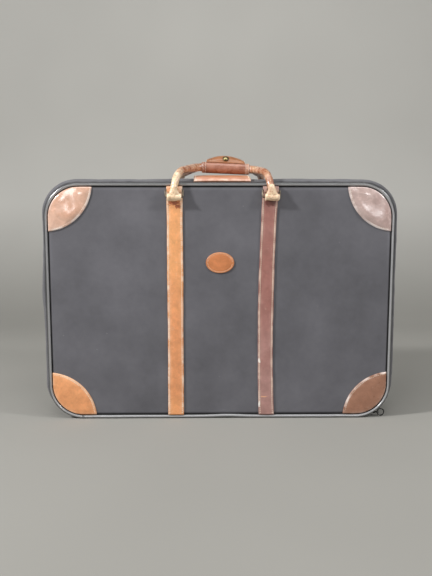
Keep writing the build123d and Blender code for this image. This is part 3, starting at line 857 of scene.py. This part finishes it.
def make_badge():
    shape = Shape()
    angle = np.linspace(0, 2 * math.pi, 72, endpoint=False)
    shares = np.array([1.0, 1.0, 0.985, 0.95, 0.90, 0.875, 0.85, 0.7, 0.5, 0.25, 0.02])
    rises = np.array([0.1, 1.3, 1.95, 2.25, 2.2, 1.85, 2.1, 2.2, 2.25, 2.3, 2.3])
    x = shares[:, None] * BADGE_HALF_W * np.cos(angle)
    z = BADGE_Z + shares[:, None] * BADGE_HALF_H * np.sin(angle)
    out = face_out(x, z, FRONT) + rises[:, None]
    edge = np.where(shares > 0.93, 0.9, 0.0)[:, None]
    net = shape.grid(at(x, FRONT * out, z), None, edge, 0.4, around=True)
    shape.cap(net[-1])
    shape.cap(net[0][::-1])
    shape.piece("badge_skin", BADGE_SKIN, "lid", ("badge",))
    rows = Shape()
    around = np.linspace(0, 2 * math.pi, 140)
    px = BADGE_SEAM * BADGE_HALF_W * np.cos(around)
    pz = BADGE_Z + BADGE_SEAM * BADGE_HALF_H * np.sin(around)
    path = at(px, FRONT * (face_out(px, pz, FRONT) + 2.0), pz)
    stitch_row(rows, path, (0, FRONT, 0), 3.0, 2.0, 0.3)
    return rows


# Handles, grips and the tongue

def lean(x):
    """Height of the middle of the grips. They lean a little, down to the right."""
    return GRIP_Z - GRIP_LEAN * (x - GRIP_MID)


def handle_path(side):
    left, right = STRAP_X
    neck = CASE_H + 19
    points = [
        (left, side * TUBE_OUT, PIVOT_Z), (left, side * TUBE_OUT, neck),
        (GRIP_MID - 59, side * GRIP_OUT, lean(GRIP_MID - 59)),
        (GRIP_MID + 59, side * GRIP_OUT, lean(GRIP_MID + 59)),
        (right, side * TUBE_OUT, neck - 2), (right, side * TUBE_OUT, PIVOT_Z)]
    return rounded_path(points, [43, 22, 22, 49], 1.6)


def make_handle(side):
    shape = Shape()
    path = handle_path(side)
    run = run_of(path)
    from_end = np.minimum(run, run[-1] - run)
    radius = TUBE_R - 0.9 * bell(from_end, 16, 9) + 0.5 * ease((from_end - 50) / 40)
    rows = tube_rows(path, radius, 24, 71 + side, 0.30)
    on_left = np.arange(len(path)) < len(path) // 2
    tone = 0.02 + 0.95 * np.where(on_left, ease((from_end - 24) / 60), ease((from_end - 4) / 18))
    worn = 0.35 + 0.5 * on_left * bell(from_end, 45, 14) + 0.5 * bell(from_end, 0, 14)
    uv = at(run[:, None], np.linspace(0, 45, 24))
    net = shape.grid(rows, uv, worn[:, None], tone[:, None], around=True)
    shape.cap(net[0][::-1])
    shape.cap(net[-1])
    for x, shift in zip(STRAP_X, (0.0, 2.2)):
        add_roll(shape, x, shift, side)
    name = SIDE_NAME[side] + "_handle"
    shape.piece(name + "_skin", HANDLE_SKIN, name, (name,), flip=True)
    rows = Shape()
    tangent = frames_along(path)[0]
    under = -np.cross(np.cross(tangent, (0.0, 0.0, 1.0)), tangent)
    size = np.linalg.norm(under, axis=1)
    keep = (from_end > 30) & (size > 0.3) & (np.abs(path[:, 0] - GRIP_MID) > 50)
    down = under / np.maximum(size, 1e-6)[:, None]
    for part in (on_left & keep, ~on_left & keep):
        stitch_row(rows, (path + down * 7.2)[part], down[part], 4.0, 2.8, 0.4)
    return rows


def add_roll(shape, x, shift, side):
    """The handle's end, wrapped round the lower bar of the wire loop, with a flare up to the tube."""
    profile = [(-14.4, 2.1), (-14.5, 4.6), (-14.0, 6.3), (-12.6, 7.1), (-9.0, 7.0), (-3.0, 7.2),
               (3.0, 7.2), (9.0, 7.0), (12.6, 7.1), (14.0, 6.3), (14.5, 4.6), (14.4, 2.1), (0, 1.9)]
    profile += profile[:1]
    angle = circle(32)
    rows = []
    for t, r in profile:
        ragged = 0.8 * math.sin(1.9 * t + x) * np.clip(-np.sin(angle), 0, 1) if abs(t) > 2 else 0
        ring = at(x + shift + t, side * TUBE_OUT + r * np.cos(angle), PIVOT_Z + r * np.sin(angle))
        if r > 4:
            ring[:, 1:] += 0.35 * swell(ring, 81, 9)[:, None]
            ring[:, 2] += ragged
        rows.append(ring)
    edge = [[1.0 if abs(t) > 12 else 0.45] for t, _ in profile]
    shape.grid(rows, None, edge, 0.05, around=True)
    rows = []
    for up, wide, deep in ((25, 5.6, 5.6), (22, 6.9, 6.9), (17, 7.4, 7.2), (12.5, 8.6, 7.3), (9, 10.4, 7.3),
                           (6, 12.2, 7.0), (3, 13.2, 6.2), (0, 12.8, 4.5)):
        ring = at(x + shift * (1 - up / 25) + wide * np.cos(angle),
                   side * TUBE_OUT + deep * np.sin(angle), PIVOT_Z + up)
        ring[:, :2] += 0.25 * swell(ring, 82, 8)[:, None]
        rows.append(ring)
    net = shape.grid(rows, None, 0.5, 0.12, around=True, flip=side == FRONT)
    shape.cap(net[0])


def make_grip(side):
    shape = Shape()
    half_t = np.array([50, 49.9, 49.2, 47.5, 45.5, 44.5, 43.5, 38, 25, 12])
    half_r = np.array([7.6, 9.2, 10.0, 10.3, 10.2, 9.9, 10.2, 10.35, 10.4, 10.4])
    t = np.concatenate([-half_t, [0], half_t[::-1]])
    r = np.concatenate([half_r, [10.4], half_r[::-1]])
    path = at(GRIP_MID + t, side * GRIP_OUT, lean(GRIP_MID + t))
    angle = circle(32)
    ring = at(0.0, np.cos(angle), np.sin(angle) * 1.08)
    rows = path[:, None] + ring * r[:, None, None]
    rows += ring * (0.10 * swell(rows, 91 + side, 14))[..., None]
    edge = np.where(np.abs(t) > 42, 0.9, 0.2)[:, None]
    # painted shade: the tone value darkens the grip's underside towards the second colour and keeps its top
    # lighter
    shape.grid(rows, None, edge, 0.5 - 0.5 * np.sin(angle), around=True)
    name = SIDE_NAME[side] + "_grip"
    shape.piece(name + "_skin", GRIP_SKIN, SIDE_NAME[side] + "_handle", (name,), flip=True)
    rows = Shape()
    around = np.linspace(0, 2 * math.pi, 60)
    for end in (-47.2, -42.0, 42.0, 47.2):
        loop = at(GRIP_MID + end, side * GRIP_OUT + 10.2 * np.cos(around),
                   lean(GRIP_MID + end) + 11.0 * np.sin(around))
        normals = at(0.0, np.cos(around), np.sin(around))
        stitch_row(rows, loop, normals, 3.4, 2.4, 0.42)
    return rows


def tongue_line(along, n):
    """Line across the tongue's underside, from behind the rear grip to the top of the front one."""
    crest = 25.0 - 9.5 * along**2 - 2.4
    rear, turn = 21.6, math.radians(118)
    front_y, front_z = -10.8 + 10.8 * math.cos(turn), 10.8 * math.sin(turn)
    y = np.array([rear, rear * 0.955, rear * 0.52, rear * 0.04, front_y * 0.60, front_y])
    z = np.array([-5.0, crest * 0.22 + 2.0, crest * 0.66 + 4.3, crest,
                  front_z + 0.62 * (crest - front_z), front_z])
    knots = np.concatenate([[0], np.cumsum(np.hypot(np.diff(y), np.diff(z)))])
    fine = np.linspace(0, knots[-1], n)
    return smooth_through(knots, y, fine), smooth_through(knots, z, fine)


def smooth_through(knots, values, places):
    """Natural cubic spline through the values at the knots, read at the places."""
    n = len(knots)
    h = np.diff(knots)
    system, right = np.eye(n), np.zeros(n)
    for i in range(1, n - 1):
        system[i, i - 1:i + 2] = h[i - 1], 2 * (h[i - 1] + h[i]), h[i]
        right[i] = 6 * ((values[i + 1] - values[i]) / h[i] - (values[i] - values[i - 1]) / h[i - 1])
    bend = np.linalg.solve(system, right)
    i = np.clip(np.searchsorted(knots, places, side="right") - 1, 0, n - 2)
    a, b = knots[i + 1] - places, places - knots[i]
    cubic = (bend[i] * a**3 + bend[i + 1] * b**3) / (6 * h[i])
    start, end = values[i] / h[i] - bend[i] * h[i] / 6, values[i + 1] / h[i] - bend[i + 1] * h[i] / 6
    return cubic + start * a + end * b


def tongue_net(along_values, n=TONGUE_ROWS):
    """Underside points of the tongue and their outward normals."""
    rows, normals = [], []
    for along in along_values:
        y, z = tongue_line(along, n)
        ty, tz = np.gradient(y), np.gradient(z)
        size = np.hypot(ty, tz)
        x = GRIP_MID + along * TONGUE_HALF
        rows.append(at(x, y, lean(x) + z + 0.8))
        normals.append(at(0.0, tz / size, -ty / size))
    return np.array(rows), np.array(normals)


def make_tongue():
    shape = Shape()
    along = np.sin(np.linspace(-math.pi / 2, math.pi / 2, 46))
    under, normal = tongue_net(along)
    share = np.linspace(0, 1, TONGUE_ROWS)
    from_side = (1 - np.abs(along))[:, None] * TONGUE_HALF
    from_rim = np.minimum(from_side, np.minimum(share, 1 - share) * 62)
    lift = 1.1 + 1.3 * rounded_rim(from_rim, 1.6)
    lift = lift - 0.3 * bell(from_rim, 4.2, 0.8) + 0.12 * swell(under, 97, 18)
    lift = lift * (1 - 0.6 * ease((share - 0.86) / 0.14))
    edge = ease(1 - from_rim / 3) * (1 - ease((share - 0.8) / 0.1))
    shape.sheet(under + normal * lift[..., None], under + normal * 0.1, None, edge, 0.6, 0.6)
    shape.piece("tongue_skin", TONGUE_SKIN, "rear_handle", ("grip_tongue",))
    rows = Shape()
    for end in (3, -4):
        stitch_row(rows, (under + normal * 2.1)[end], normal[end], 3.4, 2.4, 0.36)
    return rows


def make_snap():
    """Domed brass cap with a rolled rim, on the tongue's front slope."""
    under, normals = tongue_net([0.0], 200)
    i = np.argmin(np.abs(under[0, :, 1] + 10.4))
    normal = Vector(normals[0, i])
    centre = Vector(under[0, i]) + normal * 2.4
    side = Vector((1, 0, 0))
    other = normal.cross(side)
    shape = Shape()
    profile = [(6.4, -0.4), (6.5, 0.5), (6.2, 1.2), (5.5, 1.45), (5.0, 1.2), (4.6, 1.5), (3.6, 2.3),
               (2.2, 2.8), (0.8, 3.0), (0.05, 3.02)]
    rows = [[tuple(centre + normal * h + side * r * math.cos(a) + other * r * math.sin(a))
             for a in circle(36)] for r, h in profile]
    rim = [[1.0 if r > 4.5 else 0.0] for r, _ in profile]
    net = shape.grid(rows, None, rim, around=True)
    shape.cap(net[0][::-1])
    shape.piece("snap_dome", BRASS, "rear_handle", ("snap_cap",))


def make_top_patch():
    shape = Shape()
    y = BAND_MID - (BAND_REAR - BAND_FRONT - 0.6) / 2 * np.cos(np.linspace(0, math.pi, 46))
    u = np.array([-1, -0.99, -0.97, -0.94, -0.91, -0.6, -0.2, 0.2, 0.6, 0.91, 0.94, 0.97, 0.99, 1])
    rise = np.array([1.0, 2.2, 3.0, 2.7, 3.1, 3.4, 3.5, 3.5, 3.4, 3.1, 2.7, 3.0, 2.2, 1.0])
    x = PATCH_MID + PATCH_HALF * u + 0.4 * np.sin(y / 21)[:, None]
    yy = y[:, None]
    ground = (band_top(y) + 0.35 + 3.0 * bulge_share(y))[:, None]
    top = at(x, yy, ground + rise + 0.2 * swell(at(x, yy, 0.0), 95, 40))
    edge = np.maximum(ease((np.abs(u) - 0.86) / 0.12), ease((np.abs(yy - 4.2) - 82) / 6))
    # painted light: the lower slopes take the lighter second colour as a painted reflection, the crest the
    # darker colour as painted shade under the grip
    tone = 1.2 * (1 - ease((top[..., 2] - 484) / 12)) - 0.1
    shape.sheet(top, at(x, yy, ground), at(x, yy), edge, tone, 0)
    shape.piece("top_patch_skin", PATCH_SKIN, "case", ("top_patch",))
    rows = Shape()
    for share in (-0.94, 0.94):
        px = PATCH_MID + PATCH_HALF * share + 0.4 * np.sin(y / 21)
        path = at(px, y, ground[:, 0] + 2.75)
        stitch_row(rows, path, (0, 0, 1))
    return rows


def join_stitches(name, shapes, body):
    whole = Shape()
    for shape in shapes:
        first = whole.add(np.concatenate(shape.points), [])
        whole.faces += [tuple(first + i for i in f) for f in shape.faces]
    whole.piece(name, THREAD_PALE, body)


def dress_the_rest():
    """The CAD pieces that are shown as they are."""
    loops = [side + "_loop_" + hand for side in SIDE_NAME.values() for hand in ("left", "right")]
    for material, nodes in ((BOARD_DARK, ("front_board", "rear_board", "base_board")),
                            (HOOP_STEEL, ("mouth_hoop", "rear_hoop")),
                            (LINING_CLOTH, ("case_lining", "front_lining")),
                            (GUNMETAL, ("zip_slider", "zip_tab", "zip_ring")),
                            (BRASS, ("snap_stud",)), (LOOP_METAL, loops)):
        for node in nodes:
            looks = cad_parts[node].data.materials
            looks.clear()
            looks.append(material)


# Studio, lights and camera

def make_stage():
    shape = Shape()
    profile = [(-4.0, 0.0), (0.9, 0.0)]
    profile += [(0.9 + 0.8 * math.sin(a), 0.8 - 0.8 * math.cos(a)) for a in np.linspace(0.1, math.pi / 2, 14)]
    profile += [(1.7, 4.0)]
    rows = [[(x * 1000, y * 1000, z * 1000) for x in (-4.0, 4.0)] for y, z in profile]
    shape.grid(rows)
    t = Tree("studio_grey")
    height = t.part(t.place(), "Z")
    # painted light on the backdrop: the floor is drawn darker than the wall and the right side lighter than
    # the left, making up for how the lamps fall; the noise adds a random unevenness
    backdrop_tint_and_painted_light = t.mix(t.range(height, 0.02, 0.42), rgb(150, 148, 142), rgb(190, 188, 182))
    drift = t.range(t.noise(t.place(), 1.4, 2), 0.3, 0.7, 0.96, 1.04)
    drift = t.times(drift, t.range(t.part(t.place(), "X"), -0.6, 0.9, 0.97, 1.10))
    backdrop_tint_and_painted_light = t.shade(backdrop_tint_and_painted_light, drift)
    floor = t.finish(Base_Color=backdrop_tint_and_painted_light, Roughness=0.9)
    shape.piece("studio_sweep", floor, None)


def make_lights():
    world = bpy.data.worlds.new("studio_air")
    bpy.context.scene.world = world
    world.use_nodes = True
    air = world.node_tree.nodes["Background"].inputs
    air["Color"].default_value = (0.9, 0.95, 1.0, 1.0)
    air["Strength"].default_value = 0.10
    aim = (0.0, 0.0, 0.25)
    for name, place, target, size, energy in (
            ("far_left", (-1.90, -0.95, 1.60), (0.0, -0.1, 0.25), (0.24, 0.24), 54.0),
            ("far_right", (1.90, -0.95, 1.60), (0.0, -0.1, 0.25), (0.24, 0.24), 22.0),
            ("front_left", (-0.95, -2.45, 0.95), aim, (0.60, 0.60), 6.5),
            ("front_right", (0.95, -2.45, 0.95), aim, (0.60, 0.60), 6.5),
            ("top", (0.0, -0.9, 2.7), (0.0, 0.0, 0.3), (2.6, 1.6), 27.0)):
        data = bpy.data.lights.new(name, "AREA")
        data.shape = "RECTANGLE"
        data.size, data.size_y = size
        data.energy = energy
        obj = put(name, data)
        obj.location = place
        obj.rotation_euler = (Vector(target) - Vector(place)).to_track_quat("-Z", "Y").to_euler()


def make_camera():
    data = bpy.data.cameras.new("camera")
    data.sensor_fit = "VERTICAL"
    data.sensor_height = 36.0
    data.lens = 43.125
    obj = put("camera", data)
    obj.location = (-0.0240, -1.4745, 0.4555)
    obj.rotation_euler = (math.radians(90 - 7.645), 0.0, math.radians(-0.660))
    bpy.context.scene.camera = obj


make_band()
make_fold()
make_zip_half("lid", -89.9, -92.8, -88.6)
make_zip_half("case", -86.1, -87.4, -78.4)
for side in (FRONT, REAR):
    make_panel(side)
    make_piping(side)
    rows = [make_strap(side, 0), make_strap(side, 1)]
    rows += [make_corner(side, sign, high) for sign in (-1, 1) for high in (True, False)]
    if side == FRONT:
        rows.append(make_badge())
    else:
        rows.append(make_top_patch())
    join_stitches(SIDE_NAME[side] + "_trim_stitches", rows, SIDE_BODY[side])
    handle_rows = [make_handle(side), make_grip(side)]
    if side == REAR:
        handle_rows.append(make_tongue())
    handle = SIDE_NAME[side] + "_handle"
    join_stitches(handle + "_stitches", handle_rows, handle)
make_snap()
dress_the_rest()
make_stage()
make_lights()
make_camera()
bpy.context.scene.view_settings.view_transform = "Standard"
